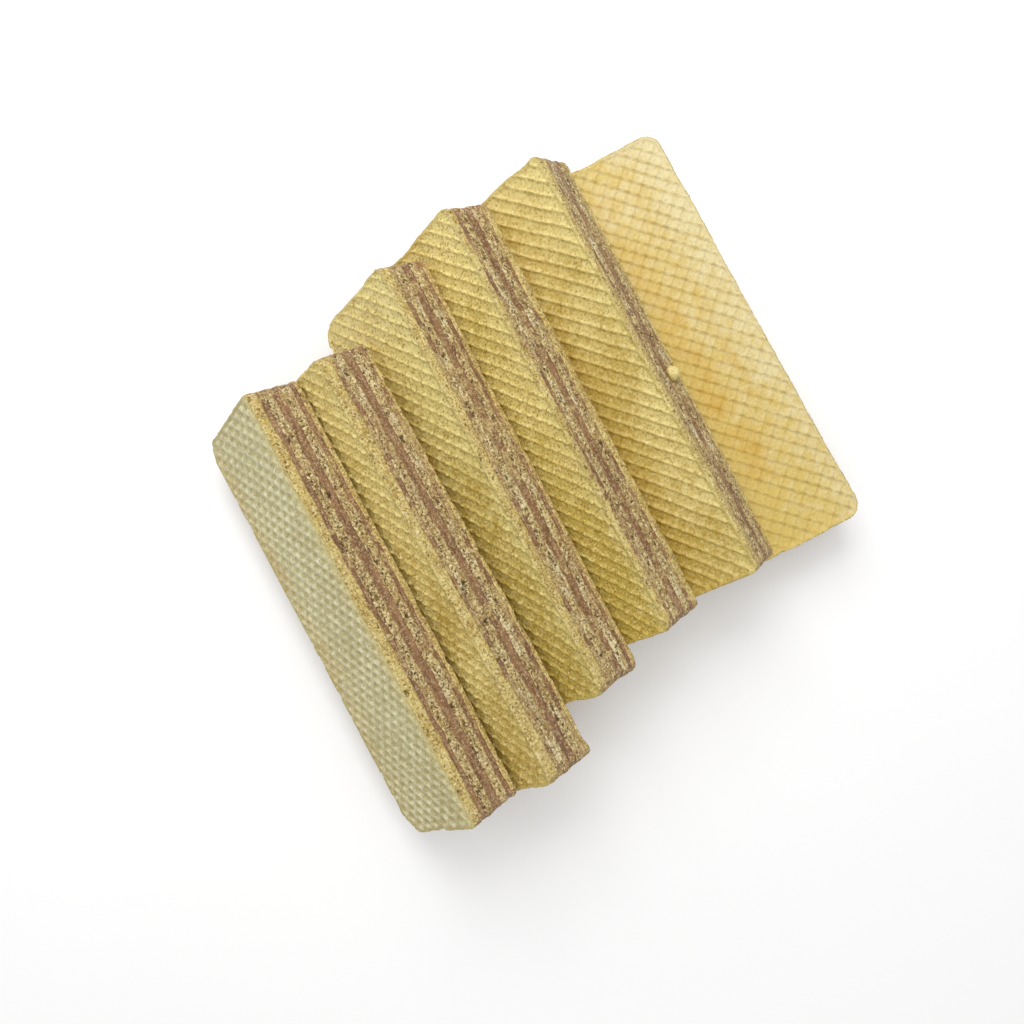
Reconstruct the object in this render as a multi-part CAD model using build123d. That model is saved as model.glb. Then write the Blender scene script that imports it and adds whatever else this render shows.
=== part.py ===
from build123d import *
import math
import os

# A leaning row of six cream-filled wafer biscuits, in millimetres.
# X runs across the row towards the flat wafer, Y along the wafers, Z up from the table.
# Wafer 6 lies flat. Wafers 5 to 1 each stand on one long edge and lean on the wafer before them.

# One wafer
WAFER_LENGTH = 80.0
WAFER_WIDTH = 23.0
LEANING_CORNER_RADIUS = 0.8
FLAT_CORNER_RADIUS = 3.0
OUTER_SHEET = 1.7
INNER_SHEET = 1.8
THIN_CREAM = 0.9
MIDDLE_CREAM = 1.7
CREAM_SETBACK = 0.1

# The row
WAFER_COUNT = 6
FOOT_STEP = {5: 13.7, 4: 14.0, 3: 13.8, 2: 14.0, 1: 13.6}
LENGTHWISE_SHIFT = {6: 0.0, 5: 1.6, 4: 0.1, 3: -3.6, 2: -12.6, 1: -12.5}
TURN = {6: 0.0, 5: -0.6, 4: -0.4, 3: -0.6, 2: 0.9, 1: 0.2}
LEAN_GAP = 0.15

# Layers from the underside up: name, thickness, and how far its edge is set back
LAYERS = [
    ("bottom_sheet", OUTER_SHEET, 0.0),
    ("lower_cream", THIN_CREAM, CREAM_SETBACK),
    ("lower_sheet", INNER_SHEET, 0.0),
    ("middle_cream", MIDDLE_CREAM, CREAM_SETBACK),
    ("upper_sheet", INNER_SHEET, 0.0),
    ("upper_cream", THIN_CREAM, CREAM_SETBACK),
    ("top_sheet", OUTER_SHEET, 0.0),
]
WAFER_THICKNESS = sum(thickness for _, thickness, _ in LAYERS)


def corner_radius(number):
    """The flat wafer's corners are worn rounder than those of the leaning ones."""
    return FLAT_CORNER_RADIUS if number == WAFER_COUNT else LEANING_CORNER_RADIUS


def layer_plate(base, thickness, setback, radius):
    """One plate with rounded corners. The wafer's foot edge lies on the Y axis."""
    outline = RectangleRounded(
        WAFER_WIDTH - 2 * setback,
        WAFER_LENGTH - 2 * setback,
        radius - setback,
    )
    return Pos(WAFER_WIDTH / 2, 0, base) * extrude(outline, thickness)


def wafer_layers(number):
    """The stacked layers of one wafer lying flat, by name."""
    plates = {}
    base = 0.0
    for name, thickness, setback in LAYERS:
        plates[name] = layer_plate(base, thickness, setback, corner_radius(number))
        base += thickness
    return plates


def wafer_place(foot_x, shift, turn, lean):
    """Where a wafer's own frame sits: its foot edge on the table, tilted up by lean."""
    return Pos(foot_x, shift, 0) * Rot(0, 0, turn) * Rot(0, -lean, 0)


def lean_on(foot_x, shift, turn, support_number, support):
    """The angle at which a wafer rests on the first corner it meets of its support's top face."""
    footing = Pos(foot_x, shift, 0) * Rot(0, 0, turn)
    straight_half = WAFER_LENGTH / 2 - corner_radius(support_number)
    steepest = 0.0
    for edge_x in (0, WAFER_WIDTH):
        for end in (-straight_half, straight_half):
            corner = support * Pos(edge_x, end, WAFER_THICKNESS)
            seen = (footing.inverse() * corner).position
            rise = math.degrees(math.atan2(seen.Z + LEAN_GAP, seen.X))
            steepest = max(steepest, rise)
    return steepest


def row_places():
    """The place of every wafer, from the flat one back to the steepest."""
    foot_x = 0.0
    places = {WAFER_COUNT: wafer_place(foot_x, LENGTHWISE_SHIFT[WAFER_COUNT], TURN[WAFER_COUNT], 0)}
    for number in range(WAFER_COUNT - 1, 0, -1):
        foot_x -= FOOT_STEP[number]
        shift = LENGTHWISE_SHIFT[number]
        turn = TURN[number]
        lean = lean_on(foot_x, shift, turn, number + 1, places[number + 1])
        places[number] = wafer_place(foot_x, shift, turn, lean)
        print(f"wafer_{number} leans {lean:.2f} degrees, foot at x {foot_x:.1f}")
    return places


def build_row():
    """All layers of all wafers in place, with the origin under the middle of the row."""
    row = {}
    for number, place in row_places().items():
        for name, plate in wafer_layers(number).items():
            row[f"wafer_{number}_{name}"] = place * plate
    box = Compound(row.values()).bounding_box()
    to_origin = Pos(-box.center().X, -box.center().Y, 0)
    return {name: to_origin * solid for name, solid in row.items()}


os.makedirs("parts", exist_ok=True)
for node, solid in build_row().items():
    export_step(solid, f"parts/{node}.step")
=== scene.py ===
import math

import bpy
import numpy as np
from mathutils import Matrix, Vector


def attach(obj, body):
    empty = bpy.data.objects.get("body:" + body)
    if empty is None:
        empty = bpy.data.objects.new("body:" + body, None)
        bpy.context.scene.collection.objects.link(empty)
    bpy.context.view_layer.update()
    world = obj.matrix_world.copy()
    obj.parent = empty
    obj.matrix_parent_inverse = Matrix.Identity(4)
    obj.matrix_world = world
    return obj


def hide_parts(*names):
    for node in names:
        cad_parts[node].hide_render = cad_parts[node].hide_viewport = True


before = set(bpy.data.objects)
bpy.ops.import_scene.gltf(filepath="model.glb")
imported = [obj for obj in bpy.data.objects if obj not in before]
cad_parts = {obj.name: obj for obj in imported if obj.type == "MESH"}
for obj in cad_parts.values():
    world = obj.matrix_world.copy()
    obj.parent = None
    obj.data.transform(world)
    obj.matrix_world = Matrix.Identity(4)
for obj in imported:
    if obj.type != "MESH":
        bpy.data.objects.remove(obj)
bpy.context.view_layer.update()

# A leaning row of six cream-filled wafer biscuits.
# Lengths are millimetres in each wafer's own axes: x from its foot edge to its raised edge, y along it
# and z up through its layers. Only the last step, Wafer.to_row, turns them into the frame's metres.
# A table whose keys run from 6 to 1 has one value for each wafer.
MM = 0.001
WAFER_NUMBERS = range(1, 7)

# Layers from the underside up, with the material slot that each takes its finish from
SLOTS = {
    "bottom_sheet": "baked_face_sheet",
    "lower_cream": "cocoa_cream",
    "lower_sheet": "porous_inner_sheet",
    "middle_cream": "cocoa_cream",
    "upper_sheet": "porous_inner_sheet",
    "upper_cream": "cocoa_cream",
    "top_sheet": "baked_face_sheet",
}

# The baked waffle grid: fine raised lines at 45 degrees to the wafer, both ways
LINE_PITCH = 2.12
LINE_HALF_WIDTH = {6: 0.21, 5: 0.22, 4: 0.22, 3: 0.22, 2: 0.23}
LINE_HEIGHT = 0.50
RIM_HEIGHT = 0.42
RISING_LINE_SHARE = {6: 0.38, 5: 0.22, 4: 0.2, 3: 0.22, 2: 0.3}
BEADING = {6: 0.4, 5: 0.5, 4: 0.6, 3: 0.65, 2: 0.65}
FALLING_LINE_PHASE = {6: 0.247, 5: 0.125, 4: 0.748, 3: 0.879, 2: 0.581, 1: 0.322}
RISING_LINE_PHASE = {6: 0.653, 5: 0.312, 4: 0.874, 3: 0.829, 2: 0.548, 1: 0.710}
# How far the pale tone of a line lies to its lit side, in repeats of the grid: a painted highlight on
# the side of each line that faces the key light
LIT_SIDE_SHIFT = {6: 0.0, 5: 0.25, 4: 0.25, 3: 0.25, 2: 0.25}

# Wafer 1 shows the other kind of face: a low weave of pale dashes in rows, with darker ones between. The
# weave raises the dashes and also paints them pale as a highlight, with painted shade in the hollows
# between them.
# These are its mean level and the strengths of the rows, the breaks in them and the steps between them.
WEAVE_WAFER = 1
WEAVE_LEVEL = 0.42
WEAVE_ROWS = 0.22
WEAVE_BREAKS = 0.14
WEAVE_STEPS = 0.13
WEAVE_STEP_PHASE = 0.298

# Mesh steps. Sixteen grid steps span one repeat of the waffle along the wafer.
GRID_STEP = LINE_PITCH * math.sqrt(2) / 16
WALL_STEP = 0.19
# How far inside the cut edge the hidden flat part of a join starts
HIDDEN_INSET = 1.4
# Points no further apart than this count as level with each other
SAME_PLACE = 0.01

# The rim of a baked face is pressed flat, which fades out between these two distances from the edge
PRESSED_RIM = (0.1, 1.0)
# The edge itself is rounded off, and chipped deeper where the chip noise lies in this range
EDGE_ROUNDING = 0.16
ROUNDING_REACH = 0.32
CHIP_DEPTH = 0.30
CHIPPED_WHERE = (0.25, 0.8)
# How far the crumb's colour reaches in from the edge
RIM_TONE_REACH = 0.45

# The cut edges
FOOT_CORNER_RADIUS = {6: 2.6, 5: 2.6, 4: 3.4, 3: 5.0, 2: 4.5, 1: 4.0}
RAISED_CORNER_RADIUS = 1.4
EDGE_OUTWARD_LIMIT = 0.22
EDGE_BLEND = 1.5
# The foot edge stands on the table, so it is held this far inside the outline. The hold fades out over
# the second distance.
FOOT_EDGE_INSET = 0.02
FOOT_EDGE_BLEND = 1.0
# The rough zone at the two sawn ends
END_ZONE = 2.5
# How far the joins have settled below their packed heights at the cut edge. Wafer 4's stand higher.
SETTLED = {6: 0.0, 5: 0.4, 4: -0.25, 3: 0.45, 2: 0.7, 1: 0.4}
CREAM_HOLLOW = 0.10
SHEET_BULGE = 0.05
# Crumbs that the saw dragged over the cream: how far they stand out and how much of the cream they cover
DRAGGED_CRUMB_HEIGHT = 0.16
CRUMBS_ON_CREAM = {6: 0.25, 5: 0.35, 4: 0.25, 3: 0.30, 2: 0.20, 1: 0.0}
CRUMBS_ON_THIN_CREAM = {6: 0.55, 5: 1.00, 4: 0.80, 3: 0.70, 2: 1.00, 1: 0.35}
# How much cream is rubbed over the bottom sheet's cut edge, over every sheet at the sawn ends, and in
# patches over the cut edges
CREAM_ON_BOTTOM_SHEET = {6: 0.2, 5: 0.0, 4: 0.15, 3: 0.35, 2: 0.30, 1: 0.35}
CREAM_ON_ENDS = 0.8
PATCHY_CREAM = 0.7

# Toasted patches on the faces: x, y, half width, half length, strength. The wide ones that run the
# length of the face near its foot edge (the first of wafers 2 to 5, the sixth of wafer 6) are painted
# shade where the neighbouring wafer shades the face.
TOAST_AND_SHADE = {
    6: [(9.6, 6.0, 2.2, 20.0, 0.28), (9.6, -12.0, 2.0, 12.0, 0.60), (15.6, -2.0, 1.3, 13.0, 0.42),
        (11.8, -22.0, 1.2, 4.0, 0.35), (9.0, 24.0, 3.0, 10.0, 0.12), (6.0, -2.0, 8.0, 34.0, 0.28),
        (15.0, 29.0, 2.2, 9.0, 0.22)],
    5: [(8.0, 0.0, 6.0, 60.0, 0.35), (16.0, 24.0, 4.0, 10.0, 0.15)],
    4: [(9.0, 0.0, 6.0, 60.0, 0.25), (12.0, 31.0, 3.0, 7.0, 0.3)],
    3: [(9.0, 0.0, 6.0, 60.0, 0.25), (12.0, 30.0, 3.0, 6.0, 0.2)],
    2: [(9.0, 0.0, 6.0, 60.0, 0.2), (12.0, 32.0, 3.0, 5.0, 0.2)],
    1: [(1.8, 5.0, 2.6, 36.0, 0.40), (21.5, -5.0, 1.2, 34.0, 0.25), (5.0, -8.0, 3.0, 12.0, 0.15)],
}

# Pores of each kind of layer: spacing, spread about the layer's middle, radius and depth
PORES = {
    "porous_inner_sheet": (0.60, 0.38, 0.13, 0.30),
    "baked_face_sheet": (1.4, 0.55, 0.10, 0.20),
    "cocoa_cream": (7.0, 0.25, 0.11, 0.14),
}
PORE_LEAST_SPACING = 0.15
PORE_LINE_TONE = 0.25
# How many radii out a pit has faded away, and how steep its sides are
PIT_REACH = 2.5
PIT_STEEPNESS = 1.5

# Large dark pits in the raised edges that tell the wafers apart: y, z, radius
LANDMARK_PITS = {
    1: [(19.1, 5.2, 0.55), (14.5, 5.9, 0.5), (-5.0, 3.1, 0.45), (-21.6, 3.6, 0.45),
        (-15.8, 9.9, 0.55), (-34.0, 9.9, 0.55)],
    2: [(-4.7, 6.2, 0.5), (-11.9, 6.1, 0.45)],
    3: [(5.0, 6.0, 0.4)],
    4: [(-31.8, 9.9, 0.6)],
}
LANDMARK_DEPTH = 0.75
LANDMARK_FLATTENING = 0.8

# The loose crumb: its wafer, its place along the raised edge and up it, and its size and shape
CRUMB_WAFER = 5
CRUMB_Y = -3.6
CRUMB_Z = 3.7
CRUMB_RADIUS = 1.5
CRUMB_SHAPE = (0.75, 1.0, 0.95)
CRUMB_STANDS_OUT = 0.45
CRUMB_LINE_TONE = 0.7
CRUMB_FACETS = 40

# Layers of noise, each as its strength, its wavelength in millimetres and its seed. Every wafer has a
# hundred seeds of its own, and the loose crumb's come after them all.
SEEDS_PER_WAFER = 100
UNDERSIDE_SEED_SHIFT = 7
CUT_EDGE_NOISE = [(0.15, 12.0, 0), (0.10, 2.4, 1), (0.08, 0.75, 2)]
SAWN_END_NOISE = [(0.30, 5.0, 3)]
JOIN_NOISE = [(0.20, 9.0, 10), (0.15, 1.9, 11), (0.07, 0.7, 12)]
LINE_BEND_X_NOISE = [(0.11, 4.5, 20)]
LINE_BEND_Y_NOISE = [(0.11, 4.5, 21)]
LINE_WEAR_NOISE = [(0.20, 3.2, 22), (0.14, 1.0, 25)]
FACE_SKIN_NOISE = [(0.030, 1.3, 23), (0.022, 0.5, 24)]
TOAST_AND_SHADE_NOISE = [(0.40, 3.5, 30), (0.45, 1.4, 31)]
CHIP_NOISE = [(1.0, 1.5, 40)]
DRAGGED_PATCH_NOISE = [(0.6, 1.1, 60), (0.6, 6.0, 61)]
DRAGGED_LUMP_NOISE = [(0.4, 0.5, 62)]
SHEET_GRAIN_NOISE = [(0.07, 0.55, 63)]
SMEAR_NOISE = [(0.6, 2.2, 64), (0.4, 0.8, 65)]
PORE_LINE_NOISE = [(0.5, 1.5, 66)]
LOOSE_CRUMB_NOISE = [(0.10, 0.8, 901), (0.05, 0.35, 902)]
# The mean share that noise leaves of the lines, the toasted and painted-shade patches, the dragged
# crumbs and the line of pores down an inner sheet
LINES_LEFT = 0.80
TOAST_AND_SHADE_LEFT = 0.75
LUMPS_LEFT = 0.6
PORE_LINE_LEFT = 0.7

# What a point's colour depends on, each from 0 to 1. On baked faces, toast also holds painted shade. On
# cream, toast is the crumbs dragged over it.
TONES = ("crest", "toast", "rim", "wall", "pore", "smear")


# ---------------------------------------------------------------- repeatable noise and tones

def lattice_value(ix, iy, iz, seed):
    """The same number from -1 to 1 each run for a whole-number lattice point."""
    mixed = (ix * 374761393 + iy * 668265263 + iz * 1440670441 + seed * 1274126177) & 0xFFFFFFFF
    mixed = ((mixed ^ (mixed >> 13)) * 1274126177) & 0xFFFFFFFF
    return (mixed ^ (mixed >> 16)) / 0x7FFFFFFF - 1.0


def noise(points, wavelength, seed):
    """Smooth noise from -1 to 1 at points whose last axis holds x, y and z."""
    scaled = points / wavelength
    cell = np.floor(scaled).astype(np.int64)
    part = scaled - cell
    ease = part * part * part * (part * (part * 6 - 15) + 10)
    total = np.zeros(points.shape[:-1])
    for dx in (0, 1):
        for dy in (0, 1):
            for dz in (0, 1):
                weight = np.ones(points.shape[:-1])
                for axis, step in enumerate((dx, dy, dz)):
                    weight = weight * (ease[..., axis] if step else 1 - ease[..., axis])
                corner = lattice_value(cell[..., 0] + dx, cell[..., 1] + dy, cell[..., 2] + dz, seed)
                total += weight * corner
    return total


def layered_noise(points, layers, number, shift=0):
    """The sum of some layers of noise, with the seeds of the wafer of that number."""
    return sum(strength * noise(points, wavelength, number * SEEDS_PER_WAFER + seed + shift)
               for strength, wavelength, seed in layers)


def smoothstep(value, low, high):
    share = np.clip((value - low) / (high - low), 0.0, 1.0)
    return share * share * (3 - 2 * share)


def tone_set(shape, **given):
    """Every tone of a region of points: the given ones, and 0 for the others."""
    return {tone: np.broadcast_to(given.get(tone, 0.0), shape) for tone in TONES}


# ---------------------------------------------------------------- the wafers as packed

def node_points(name):
    """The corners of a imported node, in millimetres."""
    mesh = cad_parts[name].data
    flat = np.empty(len(mesh.vertices) * 3)
    mesh.vertices.foreach_get("co", flat)
    return flat.reshape(-1, 3) / MM


class Wafer:
    """One wafer's own axes, sizes and layer heights, read from its packed layers."""

    def __init__(self, number):
        self.number = number
        self.body = f"wafer_{number}"
        layers = {layer: node_points(f"{self.body}_{layer}") for layer in SLOTS}
        sheet = layers["bottom_sheet"]
        _, directions = np.linalg.eigh(np.cov((sheet - sheet.mean(0)).T))
        normal = directions[:, 0] * np.sign(directions[2, 0])
        along = directions[:, 2] * np.sign(directions[1, 2])
        self.axes = np.array([np.cross(along, normal), along, normal])
        turned = {layer: points @ self.axes.T for layer, points in layers.items()}
        low = np.min([points.min(0) for points in turned.values()], axis=0)
        high = np.max([points.max(0) for points in turned.values()], axis=0)
        self.origin = np.array([low[0], (low[1] + high[1]) / 2, low[2]])
        self.width, self.length, self.thickness = high - low
        self.levels = {
            layer: (points[:, 2].min() - low[2], points[:, 2].max() - low[2])
            for layer, points in turned.items()
        }
        flat_edge = turned["bottom_sheet"][turned["bottom_sheet"][:, 0] > high[0] - SAME_PLACE]
        packed_radius = high[1] - flat_edge[:, 1].max()
        self.foot_radius = max(packed_radius, FOOT_CORNER_RADIUS[number])
        self.raised_radius = max(packed_radius, RAISED_CORNER_RADIUS)

    def radius(self, x):
        """The corner radius that applies at x. Corners by the foot edge are worn rounder."""
        return np.where(x < self.width / 2, self.foot_radius, self.raised_radius)

    def to_row(self, points):
        """Points in the wafer's own millimetres, as metres in the frame."""
        return (points + self.origin) @ self.axes * MM


# ---------------------------------------------------------------- outline and cut edges

def rim(wafer, x, y):
    """How far inside the outline points lie, and the outward direction there."""
    half_width = wafer.width / 2
    half_length = wafer.length / 2
    from_middle = x - half_width
    radius = wafer.radius(x)
    over_x = np.abs(from_middle) - (half_width - radius)
    over_y = np.abs(y) - (half_length - radius)
    in_corner = (over_x > 0) & (over_y > 0)
    reach = np.hypot(np.maximum(over_x, 0), np.maximum(over_y, 0))
    inside = radius - np.where(in_corner, reach, np.maximum(over_x, over_y))
    safe = np.where(in_corner, reach, 1.0)
    out_x = np.where(in_corner, over_x / safe, over_x >= over_y) * np.sign(from_middle)
    out_y = np.where(in_corner, over_y / safe, over_x < over_y) * np.sign(y)
    return inside, out_x, out_y


def outline_grid(wafer):
    """A fine grid that fills the wafer's outline, bent round its corners."""
    columns = round(wafer.width / GRID_STEP)
    rows = round(wafer.length / GRID_STEP)
    half_width = wafer.width / 2
    half_length = wafer.length / 2
    across = np.linspace(-half_width, half_width, columns + 1)
    along = np.linspace(-half_length, half_length, rows + 1)
    x, y = np.meshgrid(across, along, indexing="ij")
    radius = wafer.radius(x + half_width)
    corner_x = np.clip((np.abs(x) - half_width + radius) / radius, 0, 1)
    corner_y = np.clip((np.abs(y) - half_length + radius) / radius, 0, 1)
    pull_x = corner_x * (1 - np.sqrt(1 - corner_y ** 2 / 2)) * radius
    pull_y = corner_y * (1 - np.sqrt(1 - corner_x ** 2 / 2)) * radius
    return x - np.sign(x) * pull_x + half_width, y - np.sign(y) * pull_y


def border(columns, rows):
    """The grid's outer points in order round it, counter-clockwise seen from above."""
    near = [(i, 0) for i in range(columns)]
    right = [(columns, j) for j in range(rows)]
    far = [(i, rows) for i in range(columns, 0, -1)]
    left = [(0, j) for j in range(rows, 0, -1)]
    return np.array(near + right + far + left)


def end_share(wafer, points):
    """1 at the wafer's two sawn ends and 0 away from them."""
    return smoothstep(np.abs(points[..., 1]), wafer.length / 2 - END_ZONE, wafer.length / 2)


def cut_offset(wafer, points):
    """How far the cut edge stands out from the plain outline. The sawn ends are rougher."""
    ragged = layered_noise(points, CUT_EDGE_NOISE, wafer.number)
    end_wave = layered_noise(points, SAWN_END_NOISE, wafer.number) * end_share(wafer, points)
    on_foot = 1 - smoothstep(points[..., 0], 0.0, FOOT_EDGE_BLEND)
    limit = EDGE_OUTWARD_LIMIT * (1 - on_foot) - FOOT_EDGE_INSET * on_foot
    return np.minimum(ragged + end_wave, limit)


def join_height(wafer, level, x, y):
    """Where the join between two layers meets the cut edge. It wanders up and down."""
    points = np.stack([x, y, np.full_like(x, level)], -1)
    return level - SETTLED[wafer.number] + layered_noise(points, JOIN_NOISE, wafer.number)


# ---------------------------------------------------------------- baked faces

def line_profile(number, turns):
    """1 on the crest of each raised line and 0 between the lines."""
    distance = np.abs(turns - np.round(turns)) * LINE_PITCH
    return np.exp(-(distance / LINE_HALF_WIDTH[number]) ** 2)


def beaded_grid(number, falling_turns, rising_turns):
    """Both families of lines. The falling lines swell into beads where the rising ones cross."""
    between_crossings = 0.5 - 0.5 * np.cos(math.tau * rising_turns)
    falling = line_profile(number, falling_turns) * (1 - BEADING[number] * between_crossings)
    return 1 - (1 - falling) * (1 - RISING_LINE_SHARE[number] * line_profile(number, rising_turns))


def weave(falling_turns, rising_turns):
    """The low weave of wafer 1, from 0 in its lowest hollows to 1 on its highest dashes. It sets both
    their height and their painted highlight and shade.
    """
    rows = WEAVE_ROWS * np.cos(math.tau * falling_turns)
    breaks = WEAVE_BREAKS * np.cos(math.tau * rising_turns)
    steps = WEAVE_STEPS * np.cos(math.tau * (falling_turns - rising_turns - WEAVE_STEP_PHASE))
    return np.clip(WEAVE_LEVEL + rows + breaks + steps, 0, 1)


def waffle(wafer, x, y, z):
    """The raised grid: its height above the tiles, and how pale the lines make each point. The pale tone
    is painted: on wafers 2 to 5 a highlight set off to the lit side of each line, on wafer 1 a highlight
    on the weave's bumps with shade in its hollows.
    """
    number = wafer.number
    shift = 0 if z > 0 else UNDERSIDE_SEED_SHIFT
    points = np.stack([x, y, np.full_like(x, z)], -1)
    bent_x = x + layered_noise(points, LINE_BEND_X_NOISE, number, shift)
    bent_y = y + layered_noise(points, LINE_BEND_Y_NOISE, number, shift)
    falling_turns = (bent_x + bent_y) / math.sqrt(2) / LINE_PITCH - FALLING_LINE_PHASE[number]
    rising_turns = (bent_x - bent_y) / math.sqrt(2) / LINE_PITCH - RISING_LINE_PHASE[number]
    worn = LINES_LEFT + layered_noise(points, LINE_WEAR_NOISE, number, shift)
    if number == WEAVE_WAFER:
        # Wafer 1's weave is both its relief and its tone: painted highlight on the bumps, painted shade
        # in the hollows
        crest = weave(falling_turns, rising_turns) * worn
        tone = crest
    else:
        # On wafers 2 to 5 the pale tone is a painted highlight, set off from the crest to the side of
        # each line that faces the key light
        lit_side = LIT_SIDE_SHIFT[number]
        crest = beaded_grid(number, falling_turns, rising_turns) * worn
        tone = beaded_grid(number, falling_turns - lit_side, rising_turns - lit_side) * worn
    skin = layered_noise(points, FACE_SKIN_NOISE, number, shift)
    return LINE_HEIGHT * crest + skin, tone


def toast(wafer, x, y):
    """How brown the bake is, from 0 to 1: toasted patches, and painted shade where the neighbouring
    wafer shades the face.
    """
    points = np.stack([x, y, np.zeros_like(x)], -1)
    broken = TOAST_AND_SHADE_LEFT + layered_noise(points, TOAST_AND_SHADE_NOISE, wafer.number)
    total = np.zeros_like(x)
    for centre_x, centre_y, half_width, half_length, strength in TOAST_AND_SHADE[wafer.number]:
        spread = ((x - centre_x) / half_width) ** 2 + ((y - centre_y) / half_length) ** 2
        total += strength * np.exp(-spread)
    return np.clip(total * broken, 0, 1)


def face_points(wafer, x, y, top):
    """The outer face of a baked sheet: positions on the grid, and each point's tones."""
    inside, out_x, out_y = rim(wafer, x, y)
    level = wafer.thickness if top else 0.0
    nominal = np.stack([x + out_x * inside, y + out_y * inside, np.full_like(x, level)], -1)
    near_rim = 1 - smoothstep(inside, 0.0, EDGE_BLEND)
    offset = np.zeros_like(x)
    close = near_rim > 0
    offset[close] = cut_offset(wafer, nominal[close]) * near_rim[close]
    height, line_tone = waffle(wafer, x, y, level)
    pressed = 1 - smoothstep(inside, *PRESSED_RIM)
    height = height * (1 - pressed) + RIM_HEIGHT * pressed
    chipped = smoothstep(layered_noise(nominal, CHIP_NOISE, wafer.number), *CHIPPED_WHERE)
    rounding = (EDGE_ROUNDING + CHIP_DEPTH * chipped) * np.exp(-(inside / ROUNDING_REACH) ** 2)
    below = np.maximum(LINE_HEIGHT - height + rounding, 0.0)
    z = level - below if top else level + below
    points = np.stack([x + out_x * offset, y + out_y * offset, z], -1)
    tones = tone_set(x.shape, crest=line_tone * (1 - pressed), toast=toast(wafer, x, y),
                     rim=np.exp(-inside / RIM_TONE_REACH))
    return points, tones


# ---------------------------------------------------------------- cut walls of the layers

def stamp_pits(pits, arc, height, hollow, tone):
    """Presses round pits into a wall: along-edge place, height, two radii, depth, darkness."""
    around = len(arc)
    total = arc[-1] + arc[1]
    step = total / around
    for place, level, radius_along, radius_up, depth, dark in pits:
        reach = int(PIT_REACH * radius_along / step) + 1
        columns = (int(place / step) + np.arange(-reach, reach + 1)) % around
        along = (arc[columns] - place + total / 2) % total - total / 2
        spread = (along / radius_along) ** 2 + ((height[:, columns] - level) / radius_up) ** 2
        shape = np.exp(-spread ** PIT_STEEPNESS)
        hollow[:, columns] = np.maximum(hollow[:, columns], depth * shape)
        tone[:, columns] = np.maximum(tone[:, columns], dark * shape)


def random_pits(layer, low, high, total, rng):
    """The pores that baking left in a layer. Inner sheets have a line of them down the middle."""
    middle = (low + high) / 2
    spacing, spread, size, depth = PORES[SLOTS[layer]]
    pits = []
    place = 0.0
    while place < total:
        place += spacing * rng.exponential() + PORE_LEAST_SPACING
        radius = size * rng.lognormal(0.0, 0.4)
        level = middle + spread * rng.normal()
        stretch = rng.uniform(0.9, 2.4)
        pits.append((place, level, radius * stretch, radius, depth * rng.uniform(0.5, 1.3),
                     rng.uniform(0.55, 1.0)))
    return pits


def landmark_pits(wafer, low, high, arc, x, y):
    """This layer's share of the large pits, as places along the edge."""
    found = []
    on_raised_edge = np.where(x > wafer.width - SAME_PLACE)[0]
    for at_y, at_z, radius in LANDMARK_PITS.get(wafer.number, []):
        if low <= at_z < high:
            nearest = on_raised_edge[np.argmin(np.abs(y[on_raised_edge] - at_y))]
            found.append((arc[nearest], at_z, radius, radius * LANDMARK_FLATTENING, LANDMARK_DEPTH, 1.0))
    return found


def wall_rings(wafer, layer, x, y, upper, lower):
    """A layer's cut edge as rings from its upper join to its lower join, with their tones."""
    number = wafer.number
    low, high = wafer.levels[layer]
    slot = SLOTS[layer]
    steps = max(4, round((high - low) / WALL_STEP))
    share = np.linspace(0, 1, steps + 1)[:, None]
    height = upper * (1 - share) + lower * share
    _, out_x, out_y = rim(wafer, x, y)
    points = np.stack(np.broadcast_arrays(x, y, height), -1)
    arc = np.concatenate([[0.0], np.cumsum(np.hypot(np.diff(x), np.diff(y)))])
    rng = np.random.default_rng(number * 1000 + list(SLOTS).index(layer))
    hollow = np.zeros(height.shape)
    pore = np.zeros(height.shape)
    pits = random_pits(layer, low, high, arc[-1], rng)
    stamp_pits(pits + landmark_pits(wafer, low, high, arc, x, y), arc, height, hollow, pore)
    belly = np.sin(math.pi * share)
    patchy = PATCHY_CREAM * layered_noise(points, SMEAR_NOISE, number)
    rubbed = CREAM_ON_BOTTOM_SHEET[number] if layer == "bottom_sheet" else 0.0
    smear = np.clip(end_share(wafer, points) * CREAM_ON_ENDS + patchy + rubbed, 0, 1)
    if slot == "cocoa_cream":
        cover = (CRUMBS_ON_CREAM if layer == "middle_cream" else CRUMBS_ON_THIN_CREAM)[number]
        dragged = smoothstep(layered_noise(points, DRAGGED_PATCH_NOISE, number) + cover, 0.5, 1.0)
        lump_noise = layered_noise(points, DRAGGED_LUMP_NOISE, number)
        lumps = DRAGGED_CRUMB_HEIGHT * dragged * (LUMPS_LEFT + lump_noise)
        shape = belly * (lumps - CREAM_HOLLOW)
    else:
        dragged = 0.0
        shape = belly * (SHEET_BULGE + layered_noise(points, SHEET_GRAIN_NOISE, number))
    if slot == "porous_inner_sheet":
        pore_line = PORE_LINE_TONE * (PORE_LINE_LEFT + layered_noise(points, PORE_LINE_NOISE, number))
        pore = np.maximum(pore, pore_line * belly ** 3)
    offset = cut_offset(wafer, points) + shape - hollow * np.minimum(belly * 3, 1)
    moved = np.stack([x + out_x * offset, y + out_y * offset, height], -1)
    return moved, tone_set(height.shape, toast=dragged, wall=1.0, pore=pore, smear=smear)


# ---------------------------------------------------------------- meshes

def ring_quads(first, second):
    """Four-sided faces that join two rings. They face outwards when the first ring is the upper."""
    return np.stack([first, second, np.roll(second, -1), np.roll(first, -1)], -1)


def grid_quads(columns, rows):
    index = np.arange((columns + 1) * (rows + 1)).reshape(columns + 1, rows + 1)
    corners = [index[:-1, :-1], index[1:, :-1], index[1:, 1:], index[:-1, 1:]]
    return np.stack([corner.ravel() for corner in corners], -1)


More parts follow.
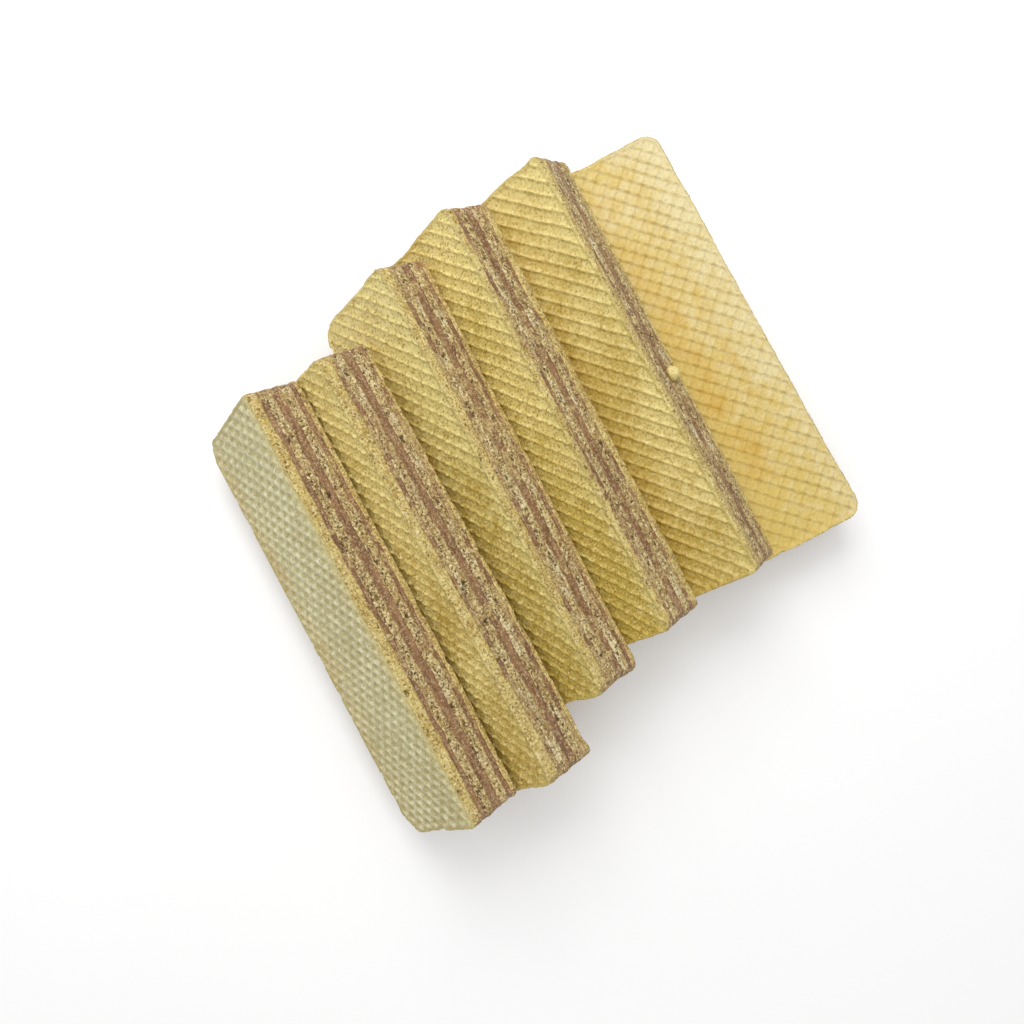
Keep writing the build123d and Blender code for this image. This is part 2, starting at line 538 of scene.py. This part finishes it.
def mesh_object(name, points, quads, caps, tones, local):
    """A mesh object from numpy arrays. caps are the flat many-sided faces inside the wafer."""
    mesh = bpy.data.meshes.new(name)
    loops = np.concatenate([quads.ravel()] + caps)
    sizes = np.concatenate([np.full(len(quads), 4), [len(cap) for cap in caps]]).astype(np.int32)
    starts = np.concatenate([[0], np.cumsum(sizes)[:-1]]).astype(np.int32)
    mesh.vertices.add(len(points))
    mesh.vertices.foreach_set("co", points.astype(np.float32).ravel())
    mesh.loops.add(len(loops))
    mesh.loops.foreach_set("vertex_index", loops.astype(np.int32))
    mesh.polygons.add(len(sizes))
    mesh.polygons.foreach_set("loop_start", starts)
    mesh.polygons.foreach_set("use_smooth", np.ones(len(sizes), bool))
    mesh.update(calc_edges=True)
    for tone, values in tones.items():
        attribute = mesh.attributes.new(tone, "FLOAT", "POINT")
        attribute.data.foreach_set("value", values.astype(np.float32))
    place = mesh.attributes.new("place", "FLOAT_VECTOR", "POINT")
    place.data.foreach_set("vector", local.astype(np.float32).ravel())
    piece = bpy.data.objects.new(name, mesh)
    bpy.context.scene.collection.objects.link(piece)
    return piece


def stack_tones(parts):
    """Joins the tones of a piece's regions in the order of its points."""
    return {tone: np.concatenate([part[tone].ravel() for part in parts]) for tone in parts[0]}


def inner_ring(wafer, x, y, level):
    """The hidden flat part of a join starts at this ring, inside the cut edge."""
    _, out_x, out_y = rim(wafer, x, y)
    height = np.full_like(x, level)
    points = np.stack([x - out_x * HIDDEN_INSET, y - out_y * HIDDEN_INSET, height], -1)
    return points, tone_set(x.shape, wall=1.0)


def baked_sheet(wafer, layer, grid):
    """A top or bottom sheet: the waffle face, the cut edge and the hidden inner side."""
    top = layer == "top_sheet"
    grid_x, grid_y = grid
    columns, rows = grid_x.shape[0] - 1, grid_x.shape[1] - 1
    face, face_tones = face_points(wafer, grid_x, grid_y, top)
    loop = border(columns, rows)
    x, y = grid_x[loop[:, 0], loop[:, 1]], grid_y[loop[:, 0], loop[:, 1]]
    outer = face[loop[:, 0], loop[:, 1], 2]
    low, high = wafer.levels[layer]
    level = low if top else high
    rings, ring_tones = wall_rings(wafer, layer, x, y, outer, join_height(wafer, level, x, y))
    inner, inner_tones = inner_ring(wafer, x, y, level)
    local = np.concatenate([face.reshape(-1, 3), rings[1:].reshape(-1, 3), inner])
    below_face = {tone: values[1:] for tone, values in ring_tones.items()}
    tones = stack_tones([face_tones, below_face, inner_tones])
    chain = [loop[:, 0] * (rows + 1) + loop[:, 1]]
    first_new = face.shape[0] * face.shape[1]
    chain += [first_new + len(loop) * k + np.arange(len(loop)) for k in range(len(rings))]
    quads = np.concatenate([grid_quads(columns, rows)]
                           + [ring_quads(a, b) for a, b in zip(chain, chain[1:])])
    cap = chain[-1][::-1]
    if not top:
        quads = quads[:, ::-1]
        cap = cap[::-1]
    name = f"{wafer.body}_{layer}_baked"
    return mesh_object(name, wafer.to_row(local), quads, [cap], tones, local)


def inner_layer(wafer, layer, grid):
    """A cream or inner sheet: only its cut edge shows."""
    grid_x, grid_y = grid
    loop = border(grid_x.shape[0] - 1, grid_x.shape[1] - 1)
    x, y = grid_x[loop[:, 0], loop[:, 1]], grid_y[loop[:, 0], loop[:, 1]]
    low, high = wafer.levels[layer]
    rings, ring_tones = wall_rings(
        wafer, layer, x, y, join_height(wafer, high, x, y), join_height(wafer, low, x, y))
    upper, upper_tones = inner_ring(wafer, x, y, high)
    lower, lower_tones = inner_ring(wafer, x, y, low)
    local = np.concatenate([upper, rings.reshape(-1, 3), lower])
    tones = stack_tones([upper_tones, ring_tones, lower_tones])
    chain = [len(loop) * k + np.arange(len(loop)) for k in range(len(rings) + 2)]
    quads = np.concatenate([ring_quads(a, b) for a, b in zip(chain, chain[1:])])
    name = f"{wafer.body}_{layer}_edge"
    return mesh_object(name, wafer.to_row(local), quads, [chain[0], chain[-1][::-1]], tones, local)


# ---------------------------------------------------------------- materials

def linear(red, green, blue):
    """A colour given as it looks on screen, 0 to 255, for a shader."""
    return tuple(((value / 255) / 12.92 if value / 255 <= 0.04045
                  else ((value / 255 + 0.055) / 1.055) ** 2.4) for value in (red, green, blue)) + (1.0,)


# The pale and golden tones of each face and the tone of its lines. On wafers 1 to 5 the lines' pale tone
# is a painted highlight, on wafer 6 the lines take the bake's own darker colour
FACE_COLOURS = {
    6: (linear(220, 206, 156), linear(208, 182, 96), linear(172, 144, 74)),
    5: (linear(222, 203, 128), linear(192, 165, 76), linear(236, 217, 148)),
    4: (linear(234, 214, 134), linear(196, 171, 76), linear(240, 220, 146)),
    3: (linear(231, 214, 137), linear(190, 167, 78), linear(239, 219, 146)),
    2: (linear(236, 218, 141), linear(197, 170, 82), linear(240, 220, 148)),
    1: (linear(184, 177, 124), linear(170, 158, 98), linear(244, 240, 202)),
}
# The strength of the wide clouds of paler and more golden bake
WIDE_CLOUDS = {6: 0.35, 5: 0.7, 4: 0.8, 3: 0.8, 2: 0.8, 1: 0.7}
# The middle of the bake without its wide clouds, and how far either side of it is all pale or all golden
SMALL_CLOUD_MIDDLE = 0.31
BAKE_RANGE = 0.23
# How much paler the bake gets per millimetre along the wafer, and per millimetre towards the raised
# edge. The second is partly the bake and partly painted shade: each face is darker and more golden
# towards its foot edge, where the neighbouring wafer shades it.
BAKE_TILT = {6: 0.0020, 5: 0.0035, 4: 0.0040, 3: 0.0060, 2: 0.0035, 1: 0.0030}
BAKE_AND_SHADE_ACROSS = {6: 0.017, 5: 0.020, 4: 0.012, 3: 0.012, 2: 0.004, 1: 0.0}
# The middle, from the foot edge, of the part of a leaning wafer's face that its neighbour leaves in view
SHOWN_MIDDLE = 17.0
# The faces are paler near their raised edges, from one distance past that middle to another: wear, and a
# painted highlight where the light catches the edge
WEAR_AND_HIGHLIGHT_FROM, WEAR_AND_HIGHLIGHT_TO = 3.0, 5.0
WEAR_AND_HIGHLIGHT = {6: 0.0, 5: 0.30, 4: 0.38, 3: 0.38, 2: 0.22, 1: 0.42}
# How strongly the lines take their tone, a painted highlight on wafers 1 to 5, and the range of crest
# over which they do
LINE_TINT = {6: 0.60, 5: 0.35, 4: 0.35, 3: 0.30, 2: 0.55, 1: 0.90}
LINE_TONE_RANGE = (0.25, 0.80)
WEAVE_TONE_RANGE = (0.05, 0.90)
# The strength of the fine grain and of the pinholes of each face
FACE_GRAIN = {6: 0.24, 5: 0.57, 4: 0.85, 3: 0.80, 2: 0.80, 1: 0.60}
PINHOLES = {6: 0.0, 5: 0.6, 4: 0.35, 3: 0.45, 2: 0.35, 1: 0.1}
WEAR_AND_HIGHLIGHT_COLOUR = linear(238, 226, 150)
# The colour of the toasted patches and of the painted shade
TOAST_AND_SHADE_COLOUR = linear(196, 150, 34)
PINHOLE_COLOUR = linear(142, 108, 44)
EDGE_PALE = linear(211, 191, 119)
EDGE_MIDDLE = linear(176, 148, 76)
EDGE_PORE = linear(118, 96, 40)
CRUMB_PALE = linear(202, 181, 124)
CRUMB_MIDDLE = linear(158, 130, 78)
CHALK_COLOUR = linear(226, 216, 180)
GRAIN_COLOUR = linear(242, 226, 176)
PRICK_COLOUR = linear(78, 56, 26)
PORE_COLOUR = linear(80, 57, 27)
PIT_COLOUR = linear(62, 38, 22)
CREAM_MIDDLE = linear(150, 111, 76)
CREAM_DARK = linear(120, 84, 55)


# How far apart the slices of noise lie that two neighbouring seeds show
NOISE_SLICE = 3.7


class Paint:
    """Builds one material's nodes. Wavelengths are millimetres in the wafer's own axes."""

    def __init__(self, name, seed):
        self.material = bpy.data.materials.new(name)
        self.material.use_nodes = True
        self.tree = self.material.node_tree
        self.shader = self.tree.nodes["Principled BSDF"]
        self.seed = seed
        self.place = self.attribute("place", "Vector")

    def attribute(self, name, output="Fac"):
        node = self.tree.nodes.new("ShaderNodeAttribute")
        node.attribute_name = name
        return node.outputs[output]

    def link(self, value, socket):
        if isinstance(value, bpy.types.NodeSocket):
            self.tree.links.new(value, socket)
        else:
            socket.default_value = value

    def stretched(self, along):
        """The place with its y axis squeezed, so that patterns run along the wafer."""
        node = self.tree.nodes.new("ShaderNodeVectorMath")
        node.operation = "MULTIPLY"
        self.link(self.place, node.inputs[0])
        node.inputs[1].default_value = (1.0, 1.0 / along, 1.0)
        return node.outputs["Vector"]

    def distance(self, axis):
        """How far each point lies along one of the wafer's own axes."""
        node = self.tree.nodes.new("ShaderNodeSeparateXYZ")
        self.link(self.place, node.inputs["Vector"])
        return node.outputs[axis]

    def noise(self, wavelength, detail=2.0, place=None, rough=0.5):
        node = self.tree.nodes.new("ShaderNodeTexNoise")
        node.noise_dimensions = "4D"
        self.seed += 1
        node.inputs["W"].default_value = self.seed * NOISE_SLICE
        node.inputs["Scale"].default_value = 1.0 / wavelength
        node.inputs["Detail"].default_value = detail
        node.inputs["Roughness"].default_value = rough
        self.link(place or self.place, node.inputs["Vector"])
        return node.outputs["Fac"]

    def ramp(self, value, low, high, start=0.0, end=1.0):
        node = self.tree.nodes.new("ShaderNodeMapRange")
        node.interpolation_type = "SMOOTHSTEP"
        self.link(value, node.inputs["Value"])
        node.inputs["From Min"].default_value = low
        node.inputs["From Max"].default_value = high
        node.inputs["To Min"].default_value = start
        node.inputs["To Max"].default_value = end
        return node.outputs["Result"]

    def math(self, operation, first, second):
        node = self.tree.nodes.new("ShaderNodeMath")
        node.operation = operation
        self.link(first, node.inputs[0])
        self.link(second, node.inputs[1])
        return node.outputs["Value"]

    def mix(self, share, first, second):
        node = self.tree.nodes.new("ShaderNodeMix")
        node.data_type = "RGBA"
        self.link(share, node.inputs["Factor"])
        self.link(first, node.inputs["A"])
        self.link(second, node.inputs["B"])
        return node.outputs["Result"]

    def finish(self, colour, roughness, height, relief):
        bump = self.tree.nodes.new("ShaderNodeBump")
        bump.inputs["Distance"].default_value = relief * MM
        self.link(height, bump.inputs["Height"])
        self.link(bump.outputs["Normal"], self.shader.inputs["Normal"])
        self.link(colour, self.shader.inputs["Base Color"])
        self.link(roughness, self.shader.inputs["Roughness"])
        return self.material


def flecks(paint, colour, pale_share, dark_share):
    """Fine pale grains and dark pinpricks, each a fraction of a millimetre wide."""
    pale = paint.ramp(paint.noise(0.40, 2.0, rough=0.6), 0.52, 0.60, 0.0, pale_share)
    dark = paint.ramp(paint.noise(0.38, 2.0, rough=0.6), 0.46, 0.38, 0.0, dark_share)
    return paint.mix(dark, paint.mix(pale, colour, GRAIN_COLOUR), PRICK_COLOUR)


def crumb_colour(paint, pale, middle, pore, pale_flecks, dark_flecks):
    """The open crumb of a cut sheet: pale grains, rubbed-in cream, pores and pinpricks."""
    grain = paint.noise(0.45, 3.0, rough=0.7)
    tone = paint.noise(1.6, 2.0, place=paint.stretched(2.5))
    blend = paint.math("ADD", grain, paint.math("MULTIPLY", tone, 0.6))
    colour = paint.mix(paint.ramp(blend, 0.68, 0.92), middle, pale)
    cream = paint.math("MULTIPLY", paint.attribute("smear"), paint.ramp(tone, 0.3, 0.6, 0.40, 0.85))
    colour = paint.mix(cream, colour, CREAM_MIDDLE)
    holes = paint.math("ADD", paint.attribute("pore"), paint.noise(0.36, 2.0, rough=0.6))
    colour = paint.mix(paint.ramp(holes, 0.62, 0.95, 0.0, 0.9), colour, pore)
    return flecks(paint, colour, pale_flecks, dark_flecks), grain


def baked_material(number):
    """A baked face with its lines, toasted patches and cut edge. Its colour holds painted highlight on
    the lines and near the raised edge, and painted shade towards the foot edge.
    """
    paint = Paint(f"baked_wafer_{number}", number * 40)
    pale, golden, line = FACE_COLOURS[number]
    wide_clouds = paint.math("MULTIPLY", paint.noise(11.0, 2.0), WIDE_CLOUDS[number])
    clouds = paint.math("ADD", wide_clouds, paint.math("MULTIPLY", paint.noise(1.7, 2.0), 0.6))
    past_middle = paint.math("SUBTRACT", paint.distance("X"), SHOWN_MIDDLE)
    # Paler along the wafer, and paler away from the foot edge, which is partly painted shade
    tilt = paint.math("ADD", paint.math("MULTIPLY", paint.distance("Y"), -BAKE_TILT[number]),
                      paint.math("MULTIPLY", past_middle, -BAKE_AND_SHADE_ACROSS[number]))
    baked = paint.math("ADD", clouds, tilt)
    middle = 0.5 * WIDE_CLOUDS[number] + SMALL_CLOUD_MIDDLE
    colour = paint.mix(paint.ramp(baked, middle - BAKE_RANGE, middle + BAKE_RANGE), pale, golden)
    # The lines' tone: a painted highlight on wafers 1 to 5, the bake's darker line colour on wafer 6
    crest = paint.attribute("crest")
    low, high = WEAVE_TONE_RANGE if number == WEAVE_WAFER else LINE_TONE_RANGE
    colour = paint.mix(paint.ramp(crest, low, high, 0.0, LINE_TINT[number]), colour, line)
    # Toast, and painted shade where the neighbouring wafer shades the face
    brown = paint.math("MULTIPLY", paint.attribute("toast"), paint.ramp(crest, 0.0, 1.0, 0.75, 1.0))
    colour = paint.mix(brown, colour, TOAST_AND_SHADE_COLOUR)
    # Paler towards the raised edge: wear and painted highlight
    worn = paint.ramp(past_middle, WEAR_AND_HIGHLIGHT_FROM, WEAR_AND_HIGHLIGHT_TO, 0.0, WEAR_AND_HIGHLIGHT[number])
    colour = paint.mix(worn, colour, WEAR_AND_HIGHLIGHT_COLOUR)
    speckle = paint.noise(0.42, 3.0, rough=0.7)
    colour = paint.mix(paint.ramp(speckle, 0.50, 0.36, 0.0, FACE_GRAIN[number]), colour, PINHOLE_COLOUR)
    colour = paint.mix(paint.ramp(speckle, 0.54, 0.68, 0.0, FACE_GRAIN[number]), colour, GRAIN_COLOUR)
    pinholes = paint.ramp(paint.noise(0.42, 0.0), 0.24, 0.17)
    colour = paint.mix(paint.math("MULTIPLY", pinholes, PINHOLES[number]), colour, PINHOLE_COLOUR)
    crumb, grain = crumb_colour(paint, EDGE_PALE, EDGE_MIDDLE, EDGE_PORE,
                                pale_flecks=0.55, dark_flecks=0.62)
    cut = paint.ramp(paint.math("ADD", paint.attribute("wall"), paint.attribute("rim")), 0.35, 1.0)
    colour = paint.mix(cut, colour, crumb)
    height = paint.math("ADD", paint.math("MULTIPLY", speckle, 0.7), paint.math("MULTIPLY", grain, cut))
    roughness = paint.math("ADD", paint.ramp(speckle, 0.3, 0.7, 0.40, 0.60),
                           paint.math("MULTIPLY", cut, 0.3))
    return paint.finish(colour, roughness, height, relief=0.12)


def porous_material(number):
    """An inner sheet: open crumb with dark pores and a trace of cream rubbed along it."""
    paint = Paint(f"porous_wafer_{number}", number * 40 + 20)
    chalky = paint.ramp(paint.noise(2.2, 2.0, place=paint.stretched(2.0)), 0.48, 0.66, 0.0, 0.75)
    pale = paint.mix(chalky, CRUMB_PALE, CHALK_COLOUR)
    crumb, grain = crumb_colour(paint, pale, CRUMB_MIDDLE, PORE_COLOUR,
                                pale_flecks=0.68, dark_flecks=0.88)
    rubbed = paint.noise(0.8, 3.0, place=paint.stretched(5.0))
    colour = paint.mix(paint.ramp(rubbed, 0.50, 0.68, 0.0, 0.5), crumb, CREAM_MIDDLE)
    return paint.finish(colour, paint.ramp(grain, 0.3, 0.7, 0.75, 0.95), grain, relief=0.18)


def cream_material(number):
    """Cocoa cream, streaked along the cut, with pale crumbs dragged over it."""
    paint = Paint(f"cream_wafer_{number}", number * 40 + 30)
    streaks = paint.noise(0.7, 3.0, place=paint.stretched(6.0))
    colour = paint.mix(paint.ramp(streaks, 0.38, 0.62), CREAM_DARK, CREAM_MIDDLE)
    grains = paint.noise(0.38, 3.0, rough=0.65)
    covered = paint.math("ADD", grains, paint.math("MULTIPLY", paint.attribute("toast"), 0.22))
    crumb = paint.mix(paint.ramp(grains, 0.44, 0.58), CRUMB_MIDDLE, CRUMB_PALE)
    colour = paint.mix(paint.ramp(covered, 0.57, 0.70, 0.0, 0.85), colour, crumb)
    colour = paint.mix(paint.ramp(paint.attribute("pore"), 0.3, 0.75), colour, PIT_COLOUR)
    colour = flecks(paint, colour, pale_share=0.25, dark_share=0.40)
    return paint.finish(colour, paint.ramp(covered, 0.45, 0.7, 0.5, 0.9), covered, relief=0.16)


# ---------------------------------------------------------------- the loose crumb

def loose_crumb(wafer, material):
    """A round crumb baked onto the raised edge of a wafer."""
    turns = np.linspace(0, math.tau, CRUMB_FACETS + 1)[:-1]
    tilts = np.linspace(0, math.pi, CRUMB_FACETS // 2 + 1)[1:-1]
    grid_u, grid_v = np.meshgrid(turns, tilts)
    directions = np.stack([np.sin(grid_v) * np.cos(grid_u), np.sin(grid_v) * np.sin(grid_u),
                           np.cos(grid_v)], -1)
    poles = np.array([[0.0, 0.0, 1.0], [0.0, 0.0, -1.0]])
    shell = np.concatenate([directions.reshape(-1, 3), poles])
    swell = 1 + layered_noise(shell, LOOSE_CRUMB_NOISE, 0)
    centre = np.array([wafer.width + CRUMB_STANDS_OUT, CRUMB_Y, CRUMB_Z])
    local = centre + shell * swell[:, None] * CRUMB_RADIUS * np.array(CRUMB_SHAPE)
    around = directions.shape[1]
    rings = [np.arange(around) + around * k for k in range(directions.shape[0])]
    quads = np.concatenate([ring_quads(a, b) for a, b in zip(rings, rings[1:])])
    top_pole = len(shell) - 2
    caps = [np.array([top_pole, rings[0][k], rings[0][(k + 1) % around]]) for k in range(around)]
    caps += [np.array([top_pole + 1, rings[-1][(k + 1) % around], rings[-1][k]]) for k in range(around)]
    tones = tone_set(len(local), crest=CRUMB_LINE_TONE)
    piece = mesh_object(f"{wafer.body}_crumb", wafer.to_row(local), quads, caps, tones, local)
    piece.data.materials.append(material)
    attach(piece, wafer.body)


# ---------------------------------------------------------------- the row

def build_wafer(number):
    """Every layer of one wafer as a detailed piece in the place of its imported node."""
    wafer = Wafer(number)
    grid = outline_grid(wafer)
    materials = {
        "baked_face_sheet": baked_material(number),
        "porous_inner_sheet": porous_material(number),
        "cocoa_cream": cream_material(number),
    }
    for layer, slot in SLOTS.items():
        make = baked_sheet if slot == "baked_face_sheet" else inner_layer
        piece = make(wafer, layer, grid)
        piece.data.materials.append(materials[slot])
        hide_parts(f"{wafer.body}_{layer}")
        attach(piece, wafer.body)
    if number == CRUMB_WAFER:
        loose_crumb(wafer, materials["baked_face_sheet"])


# ---------------------------------------------------------------- floor, light and camera

FLOOR_SIZE = 3.0
# The floor lies this far below the feet, so that the two never share a plane
FLOOR_DROP = 0.00005
SKY_STRENGTH = 0.42
OVERHEAD_STRENGTH = 1.25
OVERHEAD_SPREAD = math.radians(90)

# The key light is a soft panel on the side that the wafers' +Y ends point to
KEY_POWER = 0.46
KEY_SIZE = 0.20
KEY_HEADING = math.radians(78)
KEY_RISE = math.radians(50)
KEY_DISTANCE = 0.31

# The camera looks down from almost straight above. Its place is given from the point on the table that
# it aims at, and its upper side points along CAMERA_UP_HEADING.
CAMERA_AIM = Vector((-5.92, -4.09, 0.0)) * MM
CAMERA_OFFSET = Vector((-7.64, -5.91, 163.38)) * MM
CAMERA_UP_HEADING = math.radians(61.73)
CAMERA_LENS = 29.78


def build_floor():
    """A pale table top with a faint grain."""
    mesh = bpy.data.meshes.new("table")
    half = FLOOR_SIZE / 2
    corners = [(-half, -half, 0), (half, -half, 0), (half, half, 0), (-half, half, 0)]
    mesh.from_pydata([(x, y, -FLOOR_DROP) for x, y, _ in corners], [], [(0, 1, 2, 3)])
    floor = bpy.data.objects.new("table", mesh)
    bpy.context.scene.collection.objects.link(floor)
    material = bpy.data.materials.new("table_white")
    material.use_nodes = True
    nodes, links = material.node_tree.nodes, material.node_tree.links
    texture = nodes.new("ShaderNodeTexNoise")
    texture.inputs["Scale"].default_value = 40.0
    shade = nodes.new("ShaderNodeMix")
    shade.data_type = "RGBA"
    shade.inputs["A"].default_value = (0.95, 0.95, 0.95, 1.0)
    shade.inputs["B"].default_value = (0.98, 0.98, 0.98, 1.0)
    links.new(texture.outputs["Fac"], shade.inputs["Factor"])
    links.new(shade.outputs["Result"], nodes["Principled BSDF"].inputs["Base Color"])
    nodes["Principled BSDF"].inputs["Roughness"].default_value = 0.9
    nodes["Principled BSDF"].inputs["Specular IOR Level"].default_value = 0.0
    mesh.materials.append(material)


def build_light():
    """An even white sky, a very soft light from straight above and a panel as the key light."""
    world = bpy.data.worlds.new("studio")
    world.use_nodes = True
    world.node_tree.nodes["Background"].inputs["Color"].default_value = (1.0, 1.0, 1.0, 1.0)
    world.node_tree.nodes["Background"].inputs["Strength"].default_value = SKY_STRENGTH
    bpy.context.scene.world = world
    overhead = bpy.data.lights.new("overhead", "SUN")
    overhead.energy = OVERHEAD_STRENGTH
    overhead.angle = OVERHEAD_SPREAD
    bpy.context.scene.collection.objects.link(bpy.data.objects.new("overhead", overhead))
    key = bpy.data.lights.new("key", "AREA")
    key.energy = KEY_POWER
    key.size = KEY_SIZE
    lamp = bpy.data.objects.new("key", key)
    towards = Vector((math.cos(KEY_HEADING) * math.cos(KEY_RISE),
                      math.sin(KEY_HEADING) * math.cos(KEY_RISE),
                      math.sin(KEY_RISE)))
    lamp.location = towards * KEY_DISTANCE
    lamp.rotation_euler = towards.to_track_quat("Z", "Y").to_euler()
    bpy.context.scene.collection.objects.link(lamp)


def build_camera():
    camera = bpy.data.objects.new("camera", bpy.data.cameras.new("camera"))
    back = CAMERA_OFFSET.normalized()
    up_hint = Vector((math.cos(CAMERA_UP_HEADING), math.sin(CAMERA_UP_HEADING), 0.0))
    right = up_hint.cross(back).normalized()
    turn = Matrix((right, back.cross(right), back)).transposed()
    camera.matrix_world = Matrix.Translation(CAMERA_AIM + CAMERA_OFFSET) @ turn.to_4x4()
    camera.data.lens = CAMERA_LENS
    camera.data.sensor_width = 36.0
    camera.data.clip_start = 0.01
    camera.data.clip_end = 20.0
    bpy.context.scene.collection.objects.link(camera)
    bpy.context.scene.camera = camera


for wafer_number in WAFER_NUMBERS:
    build_wafer(wafer_number)
build_floor()
build_light()
build_camera()
bpy.context.scene.view_settings.view_transform = "Standard"
